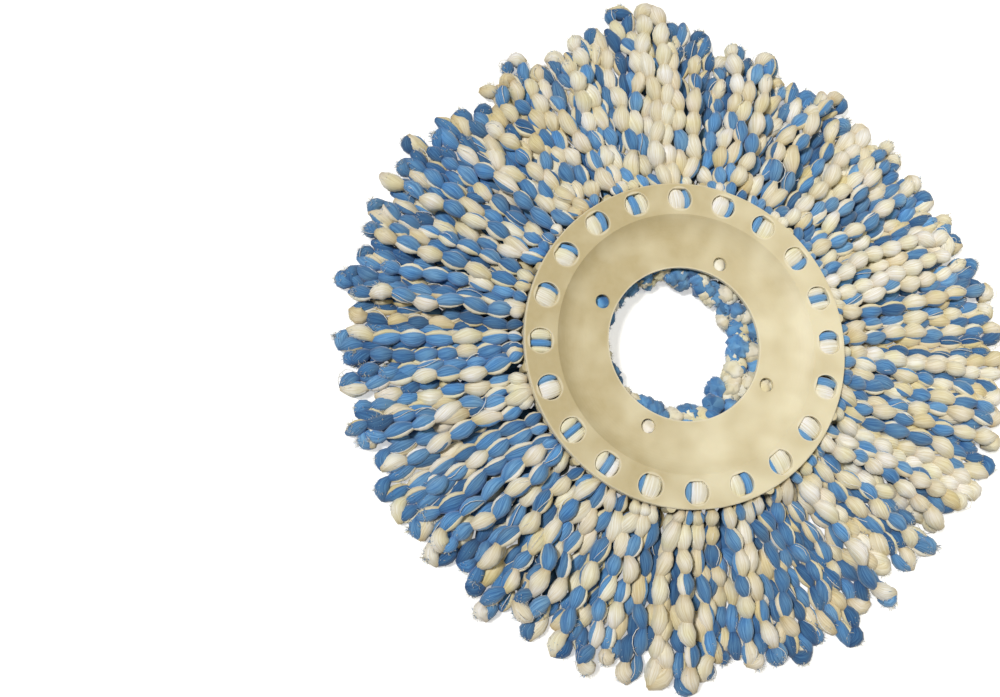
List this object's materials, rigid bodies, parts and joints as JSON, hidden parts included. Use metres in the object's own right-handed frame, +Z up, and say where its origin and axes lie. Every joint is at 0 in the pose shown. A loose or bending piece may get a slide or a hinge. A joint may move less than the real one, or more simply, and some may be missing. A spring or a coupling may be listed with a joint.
{
  "type": "spin mop head refill",
  "caption": "Round mop head refill: a dished plastic ring with a centre opening and yarn windows, snapped to a clamp ring, with looped yarn tufts that fan out flat.",
  "frame": {"origin": "on the ring's axis, on the floor that the yarn lies on", "axes": "+Z up along the ring's axis, out of the dish; +X through the middle of the first window"},
  "size_m": [0.3382, 0.3382, 0.021],
  "materials": {
    "ring_plastic": "translucent natural polypropylene, satin",
    "yarn": "beaded microfibre yarn, blue and cream puffs by turns"
  },
  "bodies": {
    "root": {"top_ring": "ring_plastic", "clamp_ring": "ring_plastic", "yarn_tuft_01": "yarn", "yarn_tuft_02": "yarn", "yarn_tuft_03": "yarn", "yarn_tuft_04": "yarn", "yarn_tuft_05": "yarn", "yarn_tuft_06": "yarn", "yarn_tuft_07": "yarn", "yarn_tuft_08": "yarn", "yarn_tuft_09": "yarn", "yarn_tuft_10": "yarn", "yarn_tuft_11": "yarn", "yarn_tuft_12": "yarn", "yarn_tuft_13": "yarn", "yarn_tuft_14": "yarn", "yarn_tuft_15": "yarn", "yarn_tuft_16": "yarn", "yarn_tuft_17": "yarn", "yarn_tuft_18": "yarn", "yarn_tuft_19": "yarn", "yarn_tuft_20": "yarn"}
  },
  "joints": []
}
